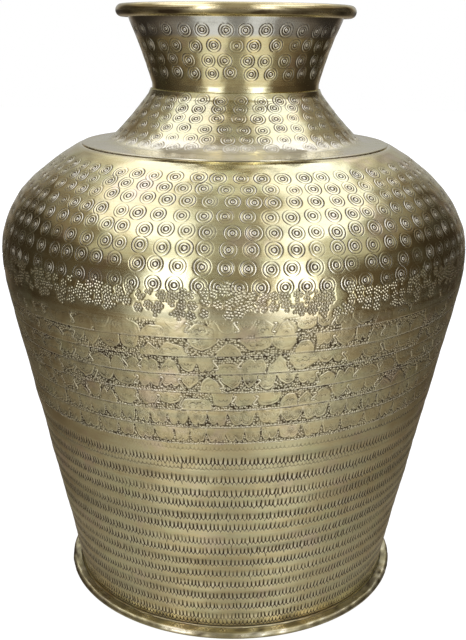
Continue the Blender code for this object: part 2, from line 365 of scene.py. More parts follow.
def scroll_band(face, top_line, pitch, rows, per_turn, seed, sway=4.5):
    """One long thread of smooth shield-shaped mounds on a sunk pebbled ground.
    A fine ruled line closes each turn, and small curls fill the ground."""
    rng = np.random.RandomState(seed)
    th = face.th
    s_top = face.s_at(top_line)
    slope_s = (face.s[-1] - face.s[0]) / (face.z[0] - face.z[-1])
    per = pitch * slope_s
    line = s_top - sway * np.sin(th) - per * th / TAU - 0.4 * np.sin(4 * th + 1.0)
    i0 = int(np.searchsorted(face.s, line.min() - per * 1.1))
    i1 = int(np.searchsorted(face.s, line.max() + per * rows + 1.0))
    phi = (face.s[i0:i1, None] - line[None, :]) / per
    row = np.floor(phi).astype(int)
    first = -1
    live = smooth(phi, first - 0.02, first + 0.30) * (phi < rows - 1)
    y = (1.0 - (phi - row)) * per                  # up from the turn's lower line
    r_mid = float(face.r[i0:i1].mean())
    P = TAU * r_mid / per_turn
    turn = (th + math.pi) / TAU                     # 0..1 round the pot

    def phase_of(t):
        """Cell position along the thread, t in turns; cells vary in width."""
        return t * per_turn + 0.42 * np.sin(TAU * t * 5.3) + 0.09 * np.sin(TAU * t * 21.7 + 1.0)

    t = turn[None, :] - row + 3.0
    phase = phase_of(t)
    cell = np.floor(phase).astype(int)
    total = int(per_turn * (rows + 6))
    tall = rng.uniform(10.8, 15.2, total)
    hang = np.zeros(total, bool)
    state = False
    for c in range(total):
        if rng.rand() < 0.38:
            state = not state
        hang[c] = state
    lean = rng.uniform(-0.14, 0.14, total)
    fat = rng.uniform(0.90, 1.08, total)
    kind = rng.randint(0, 5, total)
    cell = np.clip(cell, 0, total - 1)
    x = (phase - np.floor(phase) - 0.5) * P
    T, Ln, Fa, K = tall[cell], lean[cell], fat[cell], kind[cell]
    y_line = y
    y = np.where(hang[cell], per - y, y)           # some lobes hang from the line above
    xs = (x - Ln * (y - 5.0)) / Fa
    W = 0.50 * P
    e = np.clip(np.abs(xs) / W, 0.0, 1.0)

    def crest(q):
        """Height share of a lobe across its cell; neighbours merge below it."""
        dome = np.sqrt(np.clip(1.0 - q ** 2.4, 0, 1))
        peak = 1.0 - 0.55 * q - 0.45 * q ** 3
        pair = np.clip(1.0 - (np.abs(q - 0.40) / 0.60) ** 2.2, 0, 1) ** 0.6 * 0.96
        rolled = np.where(K == 1, peak, np.where(K == 2, pair, dome))
        rolled = np.where(K == 3, 0.5 * dome + 0.5 * peak, rolled)
        foot = 0.30 + 0.16 * np.sin(cell * 2.4)
        return T * (foot + (1.0 - foot) * rolled)

    top = crest(e)
    grad = (crest(np.minimum(e + 0.02, 1.0)) - crest(np.maximum(e - 0.02, 0.0))) / 0.04 / W
    dist = (top - y) / np.sqrt(1.0 + np.minimum(grad ** 2, 9.0))
    dist = dist + 2.3 * (lattice(th, face.s[i0:i1], r_mid, 4.6, seed + 21) - 0.5)
    dist = np.minimum(dist, y - 0.3 + 3.0 * (y_line > 0.5 * per))
    rise = smooth(dist, 0.0, 1.1)
    edge = np.exp(-((dist + 0.2) / 0.42) ** 2)
    lip = np.exp(-((dist - 0.75) / 0.45) ** 2)
    inner = np.exp(-((dist - 2.3) / 0.36) ** 2) * smooth(y, 3.5, 6.5)
    inner = inner * ((K != 3) | (x < 0)) * (K != 4)
    inner2 = np.exp(-((dist - 3.9) / 0.36) ** 2) * smooth(y, 4.5, 7.5) * ((K == 1) | (K == 2))
    wing = np.exp(-((np.hypot(np.abs(xs) - 1.9, y - 6.0) - 1.7) / 0.4) ** 2) * (y > 6.0) * (K >= 3)
    swirl = dist + 0.9 * np.sin(0.9 * xs + cell) + 0.5 * np.sin(2.1 * y + 1.7 * cell)
    hair = np.exp(-((np.mod(swirl, 2.3) - 1.15) / 0.26) ** 2) * smooth(dist, 1.4, 2.4)
    hair2 = np.exp(-((np.mod(swirl + 0.55, 2.3) - 1.15) / 0.26) ** 2) * smooth(dist, 1.4, 2.4)
    veined = smooth(lattice(th, face.s[i0:i1], r_mid, 9.0, seed + 14), 0.28, 0.60)
    hair, hair2 = hair * veined, hair2 * veined
    ground = 1.0 - smooth(dist, -0.7, 0.2)
    bumps = pebbles(face, i0, i1, 2.1, seed + 5)
    opening = row > first
    rule_power = 0.45 + 0.55 * smooth(lattice(th, face.s[i0:i1], r_mid, 30.0, seed + 12), 0.35, 0.65)
    ruled = np.exp(-((y_line - 0.55) / 0.36) ** 2) * rule_power
    cutline = (np.exp(-((y_line + 0.30) / 0.40) ** 2)
               + np.exp(-((y_line - per + 0.30) / 0.40) ** 2) * opening) * (0.4 + 0.6 * rule_power)
    sparse = smooth(lattice(th, face.s[i0:i1], r_mid, 13.0, seed + 13), 0.42, 0.60)
    ground = ground * np.where(opening, 1.0, sparse)
    scuff = 0.08 * (lattice(th, face.s[i0:i1], r_mid, 2.6, seed + 9) - 0.5) + 0.13 * (lattice(th, face.s[i0:i1], r_mid, 6.5, seed + 10) - 0.5)
    worn = 0.45 + 0.85 * smooth(lattice(th, face.s[i0:i1], r_mid, 11.0, seed + 15), 0.30, 0.70)
    worn = worn * np.where(opening, 1.0, 0.30 + 0.70 * sparse)
    edge, lip, inner, inner2 = edge * worn, lip * worn, inner * worn, inner2 * worn
    tarnish = 0.28 * smooth(lattice(th, face.s[i0:i1], r_mid, 5.0, seed + 16), 0.48, 0.90)
    h = 0.09 * rise - 0.14 * edge + 0.07 * lip - 0.10 * inner - 0.08 * inner2 - 0.10 * wing - 0.08 * hair2 + 0.05 * hair + scuff
    h = h - ground * (0.26 - 0.50 * bumps) * (1 - ruled) + 0.12 * ruled - 0.16 * cutline
    face.h[i0:i1] += (h * live).astype(np.float32)
    dark = (0.80 * edge + 0.58 * inner + 0.48 * inner2 + 0.62 * wing + 0.56 * hair2
            + ground * (1 - bumps) ** 2 * 1.04 * (1 - ruled) + 0.80 * cutline + tarnish)
    face.dark[i0:i1] += (dark * live).astype(np.float32)
    # bright on the lips, hair lines, pebble tops and ruled line: rubbed metal plus painted highlight, white specks on
    # the pebbles
    face.bright[i0:i1] += ((0.34 * lip + 0.34 * hair + 1.05 * ground * bumps ** 3 + 0.75 * ruled) * live).astype(np.float32)
    # curls and tails struck into the ground between the mounds' points
    grid = np.arange(0, rows + 5, 1.0 / (per_turn * 40))
    where = phase_of(grid)
    for c in range(int(per_turn * (rows + 5))):
        if rng.rand() > 0.52:
            continue
        tt = float(np.interp(c, where, grid)) - 3.0        # turns from the first line
        rr = -math.floor(tt)
        a = (tt + rr) * TAU - math.pi
        if rr < first or rr > rows - 2:
            continue
        sc = float(np.interp(a, th, line)) + per * (rr + 1) - 8.6 + rng.uniform(-1.4, 1.4)
        side = rng.choice([-1.0, 1.0])
        reach, swing = rng.uniform(3.4, 4.8), rng.uniform(1.3, 2.0)
        pts = []
        for q in np.linspace(0.0, 1.0, 13):
            hook = 1.0 + 0.9 * (2.0 * q - 1.0) ** 4
            pts.append((side * swing * hook * math.sin(TAU * 1.06 * (q - 0.5)),
                        reach * math.sin(math.pi * 1.08 * (q - 0.5))))
        stroke(face, a, sc, pts, 0.52, 0.26)


# ------------------------------------------------------------ section paths
def arc(cr, cz, radius, a0, a1, count):
    t = np.radians(np.linspace(a0, a1, count + 1))
    return [(cr + radius * math.cos(a), cz + radius * math.sin(a)) for a in t]


def resample(points, step):
    """Even points along a polyline, ends kept.  step may be a function of z."""
    p = np.array(points, float)
    d = np.r_[0.0, np.cumsum(np.hypot(*np.diff(p, axis=0).T))]
    keep = np.r_[True, np.diff(d) > 1e-7]
    p, d = p[keep], d[keep]
    if callable(step):
        fine = np.linspace(0, d[-1], max(8, int(d[-1] / 0.05)))
        zf = np.interp(fine, d, p[:, 1])
        cost = np.r_[0.0, np.cumsum(np.diff(fine) / step(zf[:-1]))]
        n = max(2, int(round(cost[-1])))
        s = np.interp(np.linspace(0, cost[-1], n + 1), cost, fine)
    else:
        n = max(1, int(round(d[-1] / step)))
        s = np.linspace(0, d[-1], n + 1)
    return np.c_[np.interp(s, d, p[:, 0]), np.interp(s, d, p[:, 1])]


def normals(p):
    """Unit normals of a path: outwards when the path runs down an outer face."""
    g = np.gradient(p, axis=0)
    g /= np.hypot(g[:, 0], g[:, 1])[:, None] + 1e-12
    return np.c_[-g[:, 1], g[:, 0]]


def arclength(p):
    return np.r_[0.0, np.cumsum(np.hypot(*np.diff(p, axis=0).T))]


def edge_round(a, b, count=3):
    """A half-round sheet edge from point a to point b, bulging to the right of
    the travel a face arriving at a has."""
    a, b = np.array(a, float), np.array(b, float)
    mid, half = 0.5 * (a + b), 0.5 * (b - a)
    out = np.array([half[1], -half[0]])
    t = np.linspace(0, math.pi, count + 2)[1:-1]
    return [tuple(mid - half * math.cos(q) + out * math.sin(q) * 0.8) for q in t]


# ------------------------------------------------------------ mesh of a turned sheet
def turned(name, R, Z, th, dark, bright, weight, closed=True, caps=None, sectors=2):
    """A mesh from rows of points round the pot.  R, Z, dark and bright are
    (rows, columns); weight is each row step's share of the texture's height."""
    rows, cols = R.shape
    co = np.empty((rows, cols, 3), np.float32)
    co[..., 0] = R * np.sin(th)[None, :] * MM
    co[..., 1] = -R * np.cos(th)[None, :] * MM
    co[..., 2] = Z * MM
    verts = co.reshape(-1, 3)
    steps = rows if closed else rows - 1
    i = np.arange(steps)
    j = np.arange(cols)
    a = (i[:, None] * cols + j[None, :])
    b = (((i + 1) % rows)[:, None] * cols + j[None, :])
    c = (((i + 1) % rows)[:, None] * cols + ((j + 1) % cols)[None, :])
    d = (i[:, None] * cols + ((j + 1) % cols)[None, :])
    quads = np.stack([a, b, c, d], -1).reshape(-1, 4)
    acc = np.r_[0.0, np.cumsum(weight[:steps])]
    acc = 0.006 + 0.988 * acc / acc[-1]
    per = cols // sectors
    sec = np.minimum(j // per, sectors - 1)
    width = np.where(sec == sectors - 1, cols - per * (sectors - 1), per)
    u0 = 0.004 + 0.992 * (j - sec * per) / width
    u1 = 0.004 + 0.992 * (j + 1 - sec * per) / width
    va = (sec[None, :] + acc[:-1][:, None]) / sectors
    vb = (sec[None, :] + acc[1:][:, None]) / sectors
    uu0 = np.broadcast_to(u0, (steps, cols))
    uu1 = np.broadcast_to(u1, (steps, cols))
    uv = np.stack([np.stack([uu0, va], -1), np.stack([uu0, vb], -1),
                   np.stack([uu1, vb], -1), np.stack([uu1, va], -1)], 2)
    loops = quads.reshape(-1)
    uvs = uv.reshape(-1, 2)
    starts = np.arange(len(quads)) * 4
    dk, br = dark.reshape(-1), bright.reshape(-1)
    if caps:
        extra, tri_loops, tri_uv = [], [], []
        for row, point, flip, corner in caps:
            centre = len(verts) + len(extra)
            extra.append((0.0, 0.0, point * MM))
            e0 = row * cols + j
            e1 = row * cols + (j + 1) % cols
            tri = np.stack([e0, np.full(cols, centre), e1] if not flip
                           else [e1, np.full(cols, centre), e0], -1)
            tri_loops.append(tri.reshape(-1))
            ang0, ang1 = th, th + TAU / cols
            box = 0.5 / sectors * 0.9
            def spot(ang, rad):
                return np.stack([corner[0] + box * rad * np.sin(ang),
                                 corner[1] + box * rad * np.cos(ang)], -1)
            p0, p1, pc = spot(ang0, 1.0), spot(ang1, 1.0), spot(ang0, 0.0)
            tri_uv.append(np.stack([p0, pc, p1] if not flip else [p1, pc, p0], 1).reshape(-1, 2))
        verts = np.vstack([verts, np.array(extra, np.float32)])
        n_tri = sum(len(t) // 3 for t in tri_loops)
        starts = np.r_[starts, len(loops) + 3 * np.arange(n_tri)]
        loops = np.r_[loops, np.concatenate(tri_loops)]
        uvs = np.vstack([uvs, np.vstack(tri_uv)])
        dk = np.r_[dk, np.zeros(len(extra))]
        br = np.r_[br, np.zeros(len(extra))]
    mesh = bpy.data.meshes.new(name)
    mesh.vertices.add(len(verts))
    mesh.vertices.foreach_set("co", verts.astype(np.float32).ravel())
    mesh.loops.add(len(loops))
    mesh.loops.foreach_set("vertex_index", loops.astype(np.int32))
    mesh.polygons.add(len(starts))
    mesh.polygons.foreach_set("loop_start", starts.astype(np.int32))
    mesh.update(calc_edges=True)
    mesh.polygons.foreach_set("use_smooth", np.ones(len(starts), bool))
    layer = mesh.uv_layers.new(name="OFBake")
    layer.data.foreach_set("uv", uvs.astype(np.float32).ravel())
    for label, values in (("dark", dk), ("bright", br)):
        att = mesh.attributes.new(label, "FLOAT", "POINT")
        att.data.foreach_set("value", np.clip(values, 0, 2).astype(np.float32))
    mesh.validate()
    mesh.update()
    obj = bpy.data.objects.new(name, mesh)
    bpy.context.scene.collection.objects.link(obj)
    return obj


def columns(count):
    count = int(round(count * DENSITY / 4.0)) * 4
    return -math.pi + (np.arange(count) + 0.5) * TAU / count


class Sheet:
    """Collects the runs of a closed sheet section, each with its relief."""

    def __init__(self, th):
        self.th = th
        self.R, self.Z, self.dark, self.bright, self.w = [], [], [], [], []

    def run(self, path, relief=None, dark=None, bright=None, weight=1.0, normal=None):
        path = np.asarray(path, float)
        n = normals(path) if normal is None and len(path) > 1 else normal
        h = np.zeros((len(path), len(self.th)), np.float32) if relief is None else relief
        if n is None:
            n = np.zeros_like(path)
        self.R.append((path[:, 0][:, None] + h * n[:, 0][:, None]).astype(np.float32))
        self.Z.append((path[:, 1][:, None] + h * n[:, 1][:, None]).astype(np.float32))
        zero = np.zeros((len(path), len(self.th)), np.float32)
        self.dark.append(zero if dark is None else dark.astype(np.float32))
        self.bright.append(zero if bright is None else bright.astype(np.float32))
        self.w.append(np.full(len(path), weight))

    def build(self, name, caps=None, closed=True):
        R, Z = np.vstack(self.R), np.vstack(self.Z)
        mean = np.c_[R.mean(1), Z.mean(1)]
        nxt = np.roll(mean, -1, axis=0)
        step = np.hypot(*(nxt - mean).T) * np.concatenate(self.w)
        return turned(name, R, Z, self.th, np.vstack(self.dark), np.vstack(self.bright),
                      step, closed=closed, caps=caps)


def face_of(path, th):
    return Face(arclength(path), path[:, 0], path[:, 1], th)


def hand(face, seed, dent=0.22, ripple=0.06):
    """Unevenness a hammered sheet keeps: broad dents and fine ripples."""
    return (dent * waves(face.th, face.s, seed, 26, 12, 75.0)
            + ripple * waves(face.th, face.s, seed + 1, 30, 48, 22.0))


def ease(face, s_from, s_to):
    """0 before s_from, 1 after s_to, along a face."""
    return smooth(face.s, s_from, s_to)[:, None].astype(np.float32)

# ============================================================ the pieces
def hermite(p0, t0, p1, t1, count):
    u = np.linspace(0, 1, count + 1)[:, None]
    p0, t0, p1, t1 = (np.array(q, float)[None, :] for q in (p0, t0, p1, t1))
    return ((2 * u ** 3 - 3 * u ** 2 + 1) * p0 + (u ** 3 - 2 * u ** 2 + u) * t0
            + (-2 * u ** 3 + 3 * u ** 2) * p1 + (u ** 3 - u ** 2) * t1)


def rounded(points, count=12):
    """A smooth curve through the points, with tangents along their chords."""
    p = np.array(points, float)
    out = [p[:1]]
    for i in range(len(p) - 1):
        a, b = p[i], p[i + 1]
        before = p[i - 1] if i else 2 * a - b
        after = p[i + 2] if i + 2 < len(p) else 2 * b - a
        length = np.hypot(*(b - a))
        ta = (b - before) / (np.hypot(*(b - before)) + 1e-9) * length
        tb = (after - a) / (np.hypot(*(after - a)) + 1e-9) * length
        out.append(hermite(a, ta, b, tb, count)[1:])
    return np.vstack(out)


def behind(path, thickness=SHEET):
    """The hidden face of a sheet, travelling the other way."""
    return (path - normals(path) * thickness)[::-1]


def back_relief(face, path, share=-0.55):
    """The struck marks showing through on the hidden face."""
    s = np.interp(-path[:, 1], -face.z, face.s)
    k = np.clip(np.searchsorted(face.s, s), 0, len(face.s) - 1)
    return share * face.h[k]


# ------------------------------------------------------------ neck funnel
th = columns(1300)
roll_r, roll_z = RIM_R - ROLL, RIM_TOP - ROLL
wall_top = (roll_r - ROLL + SHEET, roll_z)
slope = 0.27 + 0.0032 * 51.0
drop = wall_top[1] - 541.0
hidden = hermite(wall_top, (0.0, -drop), (float(neck_radius(541.0)), 541.0),
                 (-slope * drop, -drop), 24)
zs = np.linspace(540.5, 487.0, 120)
outer = np.vstack([hidden, np.c_[neck_radius(zs), zs],
                   [(78.0, 485.0), (78.0, float(neck_lo[2]))]])
outer = resample(outer, lambda z: np.where(z > 542, 1.1, np.where(z > 494, 0.42, np.where(z > 484.5, 0.9, 3.0))) / DENSITY)
face = face_of(outer, th)
live = ease(face, face.s_at(552.0), face.s_at(541.0)) * (1 - ease(face, face.s_at(486.5), face.s_at(484.0)))
ring_rows(face, [537.5, 524.6, 512.5, 502.0], 17.4, 6.3, 11, depth=1.22)
face.h = (face.h + hand(face, 21, 0.20, 0.05)) * live
throat = behind(resample(outer, 1.15 / DENSITY))
sheet = Sheet(th)
sheet.run(outer, face.h, face.dark, face.bright)
sheet.run(edge_round(outer[-1], throat[0]), weight=0.3)
sheet.run(throat[:-1], back_relief(face, throat[:-1]), weight=0.6)
roll = resample(arc(roll_r, roll_z, ROLL, 180.0, -115.0, 90), 0.75)
roll_face = face_of(roll, th)
turned_by = np.degrees(np.arctan2(roll[:, 1] - roll_z, roll[:, 0] - roll_r))[:, None]
patchy = waves(th, roll_face.s, 35, 24, 22, 40.0)
# painted shade on the roll's lower outer side and in a band under its top, over an even patchy patina
roll_shade_and_patina = (0.74 * smooth(turned_by, -62.0, -34.0) * (1 - smooth(turned_by, -12.0, 10.0)) * (1 + 0.4 * patchy)
             + 0.22 * smooth(turned_by, 34.0, 46.0) * (1 - smooth(turned_by, 52.0, 62.0)) * (1 + 0.7 * patchy)
             + 0.24 + 0.14 * patchy)
# painted highlight along the roll's top and across its outer middle
roll_highlight = (0.80 * smooth(turned_by, 58.0, 74.0) * (1 - smooth(turned_by, 84.0, 100.0))
               + 0.20 * smooth(turned_by, 2.0, 14.0) * (1 - smooth(turned_by, 22.0, 34.0))) * (1 + 0.25 * patchy)
sheet.run(roll, 0.05 * waves(th, roll_face.s, 31, 24, 16, 30.0) + 0.05 * waves(th, roll_face.s, 33, 10, 5, 60.0),
          np.clip(roll_shade_and_patina, 0, 2), np.clip(roll_highlight, 0, 2))
under = resample(arc(roll_r, roll_z, ROLL - SHEET, -115.0, 180.0, 60), 1.2)
sheet.run(edge_round(roll[-1], under[0]), weight=0.3)
sheet.run(under[:-1], weight=0.15)
neck = sheet.build("kalash_neck")

# ------------------------------------------------------------ collar and ledge
th = columns(1560)
cone_z = np.linspace(480.3, 451.2, 14)
shape = ([(79.7, 485.2), (80.45, 483.2)] + [(float(cone_radius(z)), float(z)) for z in cone_z]
         + [(112.9, 444.6), (117.6, 440.7), (123.4, 438.3), (133.5, 436.9), (142.2, 436.45), (144.0, 436.15),
            (LEDGE_R, LEDGE_Z - 0.55)])
outer = resample(rounded(shape), lambda z: np.where(z > 438.0, 0.42, 1.1) / DENSITY)
face = face_of(outer, th)
ring_rows(face, [478.6, 472.6, 464.6, 456.8, 448.2], 17.2, 6.5, 12, depth=0.85, flat=1.22)
ring_rows(face, [441.6], 17.2, 6.5, 14, depth=1.2, flat=1.22)
edge_off = 1 - ease(face, face.s[-1] - 3.0, face.s[-1] - 0.3)
broad = hand(face, 41, 0.18, 0.06) + 0.22 * waves(th, face.s, 43, 14, 9, 40.0) * ease(face, face.s_at(440.0), face.s_at(437.6))
face.h = face.h + broad * (0.25 + 0.75 * edge_off) * ease(face, 0.0, 4.0)
# painted highlight: the lower cone and the ledge paler towards the front, for the glare they catch there
face.bright += ((0.84 * ease(face, face.s_at(451.0), face.s_at(441.5)) - 0.06 * ease(face, face.s_at(440.0), face.s_at(437.6)))
                * np.clip(0.32 + 0.68 * np.cos(th), 0.2, 1.0)[None, :]).astype(np.float32)
inner = behind(resample(outer, 2.4))
inner[:, 1] = np.where(inner[:, 0] > 138.0, np.maximum(inner[:, 1], LEDGE_Z - SHEET + 0.02), inner[:, 1])
sheet = Sheet(th)
sheet.run(outer, face.h, face.dark, face.bright)
rim_edge = edge_round(outer[-1], inner[0], 4)
# painted highlight line along the ledge's rounded edge
sheet.run(rim_edge, weight=0.6, bright=np.full((len(rim_edge), len(th)), 0.85))
sheet.run(inner, weight=0.2)
sheet.run(edge_round(inner[-1], outer[0], 4), weight=0.6)
collar = sheet.build("kalash_collar")

# ------------------------------------------------------------ marks over the belly seam
SEAM_GAP_TOP = SEAM_Z + 0.10
rng = np.random.RandomState(77)
bead_marks = []
for z_row, gap, keep in ((343.2, 9.0, 0.93), (335.2, 9.0, 0.93), (328.2, 9.6, 0.66)):
    n = int(round(TAU * BELLY_R / gap))
    run = 0.0
    for k in range(n):
        run = 0.6 * run + rng.normal(0, 0.10)
        if rng.rand() > keep:
            continue
        a = TAU * (k + run) / n - math.pi
        patchy = math.sin(7 * a + 0.8) + math.sin(13 * a + 2.0)
        z_mark = z_row + rng.normal(0, 1.5) - 2.2 * math.sin(a) * 0.0 + 0.9 * patchy
        bead_marks.append((a, z_mark, rng.uniform(3.3, 5.6), rng.uniform(0, TAU), rng.randint(1 << 30)))
order = rng.permutation(len(bead_marks))
bead_marks = [bead_marks[k] for k in order]


def strike_beads(face, z_edge, upper):
    s_edge = face.s[-1] if upper else face.s[0]
    for a, z_mark, size, turn, seed in bead_marks:
        s0 = s_edge + (z_edge - z_mark) * 1.0
        bead_punch(face, a, s0, size, turn, np.random.RandomState(seed))


# ------------------------------------------------------------ shoulder
th = columns(2880)
lap_z = float(shoulder_hi[2])
zs = np.linspace(433.5, SEAM_GAP_TOP + 0.15, 220)
shape = np.vstack([rounded([(145.4, lap_z - 0.12), (147.6, lap_z - 0.75), (float(body_radius(433.5)), 433.5)], 8)[:-1],
                   np.c_[body_radius(zs), zs]])
flat = resample([(float(shoulder_lo[0]) * 0 + 126.0, lap_z), (143.0, lap_z), (145.4, lap_z - 0.12)], 2.5)[:-1]
outer = resample(shape, lambda z: np.where(z > 430.5, 0.7, 0.43) / DENSITY)
outer = np.insert(outer, len(outer) - 1, outer[-1] + 0.1 * (outer[-2] - outer[-1]), axis=0)
face = face_of(outer, th)
shoulder_rings = [424.8, 417.0, 408.8, 399.1, 388.8, 377.0, 363.9, 349.6]
ring_rows(face, shoulder_rings, 17.4, 6.9, 13, depth=1.06, thread=True)
# painted highlight lightening the strip just under the ledge edge, where its shade falls
face.bright += (0.7 * np.exp(-((face.s - face.s[0]) / 1.8) ** 2))[:, None].astype(np.float32)
face.h += hand(face, 51, 0.36, 0.13) * ease(face, 1.0, 9.0) * (1 - 0.8 * ease(face, face.s[-1] - 30.0, face.s[-1]))
# random stain, plus painted shade: a dark stripe at the front centre between the two reflected lights
belly_stain_and_front_shade = 0.06 + 0.30 * np.exp(-(th / 0.15) ** 2)[None, :] + 0.26 * waves(th, face.s, 55, 24, 20, 40.0)
face.dark += (np.clip(belly_stain_and_front_shade, 0, 1) * np.exp(-((face.z - 336.0) / 13.0) ** 2)[:, None]).astype(np.float32)
strike_beads(face, SEAM_GAP_TOP + 0.15, True)
joggle = resample([(BELLY_R - 0.10, SEAM_GAP_TOP), (BELLY_R - 0.9, SEAM_GAP_TOP - 0.02),
                   (BELLY_R - SHEET - 0.25, SEAM_GAP_TOP - 0.35)], 0.5)
skirt = resample([(BELLY_R - SHEET - 0.3, SEAM_GAP_TOP - 1.0), (BELLY_R - SHEET - 1.0, float(shoulder_lo[2]))], 3.0)
inside = [(BELLY_R - 2 * SHEET - 1.0, float(shoulder_lo[2])), (BELLY_R - 2 * SHEET - 0.3, SEAM_GAP_TOP - 0.5),
          (BELLY_R - SHEET - 0.25, 340.0)]
zs = np.linspace(342.0, 431.5, 60)
inner_curve = np.c_[body_radius(zs), zs] - normals(np.c_[body_radius(zs), zs][::-1])[::-1] * SHEET
inside = np.vstack([inside, inner_curve, [(149.0, lap_z - 2.0), (146.2, lap_z - 1.25), (143.0, lap_z - SHEET), (126.0, lap_z - SHEET)]])
inside = resample(inside, 4.0)
sheet = Sheet(th)
sheet.run(flat, weight=0.3)
sheet.run(outer, face.h, face.dark, face.bright)
sheet.run(joggle, weight=0.3)
sheet.run(skirt, weight=0.15)
sheet.run(edge_round(skirt[-1], inside[0], 2), weight=0.3)
sheet.run(inside, weight=0.15)
sheet.run(edge_round(inside[-1], flat[0], 2), weight=0.3)
shoulder = sheet.build("kalash_shoulder")

# ------------------------------------------------------------ lower body
th = columns(2800)
foot_wall_z = 7.7
teeth = [192.0, 173.5, 159.6, 147.9, 134.0, 122.5, 108.0, 96.2, 83.0, 70.5, 57.4, 44.2, 31.6, 19.3]
zs = np.linspace(SEAM_Z, foot_wall_z, 400)
shape = np.c_[body_radius(zs), zs]


def wall_step(z):
    fine = np.where(z > 203.0, 0.46, 1.5)
    for t in teeth + [187.0, 12.4]:
        fine = np.where(np.abs(z - t + 0.5) < 5.6, np.minimum(fine, 0.5), fine)
    return fine / DENSITY


outer = resample(shape, wall_step)
outer = np.insert(outer, 1, outer[0] + 0.1 * (outer[1] - outer[0]), axis=0)
face = face_of(outer, th)
PITCH = 16.4
scroll_band(face, 308.2, PITCH, 7, 74.5, 61)
lines = spiral(teeth, th, rising=True)
for k, line in enumerate(lines):
    sway = 1.6 * np.sin(th)
    tooth_row(face, line + sway, 7.6, 100 + k, depth=1.0)
rows_tone = np.zeros((len(face.s), len(th)), np.float32)
for k, line in enumerate(lines):
    i0 = int(np.searchsorted(-face.z, -(line.max() + 16.0)))
    i1 = int(np.searchsorted(-face.z, -(line.min() - 12.0)))
    away = face.z[i0:i1, None] - (line + 1.6 * np.sin(th))[None, :]
    strong = (0.20 + 0.13 * np.sin(2.3 * th + 1.9 * k) + 0.09 * np.sin(5.1 * th - 2.7 * k))[None, :]
    rows_tone[i0:i1] += (strong * np.exp(-((away - 2.6) / 3.3) ** 2)).astype(np.float32)
    face.h[i0:i1] -= (0.16 * np.exp(-((away - 1.0) / 2.6) ** 2)).astype(np.float32)
face.dark += np.clip(rows_tone, 0, 0.5)
faint = np.clip(0.55 + 0.5 * np.sin(th - 0.2), 0.05, 1.0)
tooth_row(face, 205.6 + 4.0 * np.sin(th), 3.4, 140, depth=0.7, pitch=3.5, fade=faint)
tooth_row(face, lines[0] + 1.6 * np.sin(th) - 6.2, 3.2, 141, depth=0.6, pitch=3.5, fade=0.25 + 0.6 * (1 - faint))
tooth_row(face, 12.6 + 0.0 * th, 5.4, 142, depth=1.0, fade=0.75 + 0.25 * faint)
# painted shade: the wall darkened just above the flange, in the corner where it meets the base lip
face.dark += (1.5 * smooth(-face.z, -2 * FOOT_ROLL - 2.4, -2 * FOOT_ROLL - 0.6))[:, None].astype(np.float32)
grow = 1 - 0.75 * (1 - ease(face, 0.0, 26.0))
face.h += hand(face, 71, 0.42, 0.11) * grow * (1 - ease(face, face.s[-1] - 9.0, face.s[-1] - 1.0))
# the relief fades out over the last few mm above the foot
face.h *= (1 - ease(face, face.s[-1] - 3.0, face.s[-1] - 0.3))
# random stain, plus painted shade: a dark stripe at the front centre between the two reflected lights
belly_stain_and_front_shade = 0.06 + 0.30 * np.exp(-(th / 0.15) ** 2)[None, :] + 0.26 * waves(th, face.s, 56, 24, 20, 40.0)
face.dark += (np.clip(belly_stain_and_front_shade, 0, 1) * np.exp(-((face.z - 336.0) / 13.0) ** 2)[:, None]).astype(np.float32)
# painted shade: the lower body darkened towards its left and right sides
face.dark += (0.13 * smooth(np.abs(th), 0.60, 1.05)[None, :] * np.exp(-((face.z - 296.0) / 42.0) ** 2)[:, None]).astype(np.float32)
strike_beads(face, SEAM_Z, False)
foot_r = float(body_radius(foot_wall_z))
flange = resample([(foot_r + 0.02, foot_wall_z - 0.5), (foot_r + 0.4, 6.2), (foot_r + 1.6, 5.2), (162.6, 5.2)], 1.2)
zs = np.linspace(foot_wall_z, SEAM_Z, 60)
inside = np.vstack([[(162.6, 4.2), (foot_r + 1.2, 4.2), (foot_r - 0.4, 5.3)],
                    np.c_[body_radius(zs) - 1.02 * SHEET, zs]])
inside = resample(inside, 5.0)
sheet = Sheet(th)
sheet.run(outer, face.h, face.dark, face.bright)
sheet.run(flange, weight=0.2)
sheet.run(edge_round(flange[-1], inside[0], 2), weight=0.3)
sheet.run(inside, weight=0.15)
sheet.run(edge_round(inside[-1], outer[0], 3), weight=0.3)
lower = sheet.build("kalash_lower_body")

# ------------------------------------------------------------ base plate and foot
th = columns(960)
wire_r = FOOT_R - FOOT_ROLL
lip_r = 159.4
lip = resample([(lip_r, 2 * FOOT_ROLL), (wire_r, 2 * FOOT_ROLL)] + arc(wire_r, FOOT_ROLL, FOOT_ROLL, 90.0, -90.0, 40)[1:], 0.62)
face = face_of(lip, th)
fade = 1 - ease(face, face.s[-1] - 6.5, face.s[-1] - 2.5)
along = th[None, :] * 165.0
across = face.s[:, None]
creases = 0.5 + 0.5 * np.sin(along / 5.1 + 0.55 * across + 2.0 * np.sin(along / 61.0) + 1.5 * np.sin(along / 23.0))
strength = np.clip(lattice(th, face.s, 165.0, 28.0, 91) * 1.9 - 0.75, 0.0, 1.0)
lumps = lattice(th, face.s, 165.0, 7.0, 92) - 0.5
fine = lattice(th, face.s, 165.0, 3.2, 93) - 0.5
face.h = (0.34 * (creases ** 2 - 0.4) * strength + 0.42 * lumps + 0.16 * fine).astype(np.float32) * fade
# dark: patina in the creases and low lumps, and painted shade along the lip's inner edge against the wall
face.dark = (0.55 * (1 - creases) ** 2 * strength * fade + 0.5 * np.clip(-lumps * 2.0, 0, 1) * fade
             + 0.8 * (1 - ease(face, 0.0, 1.3))).astype(np.float32)
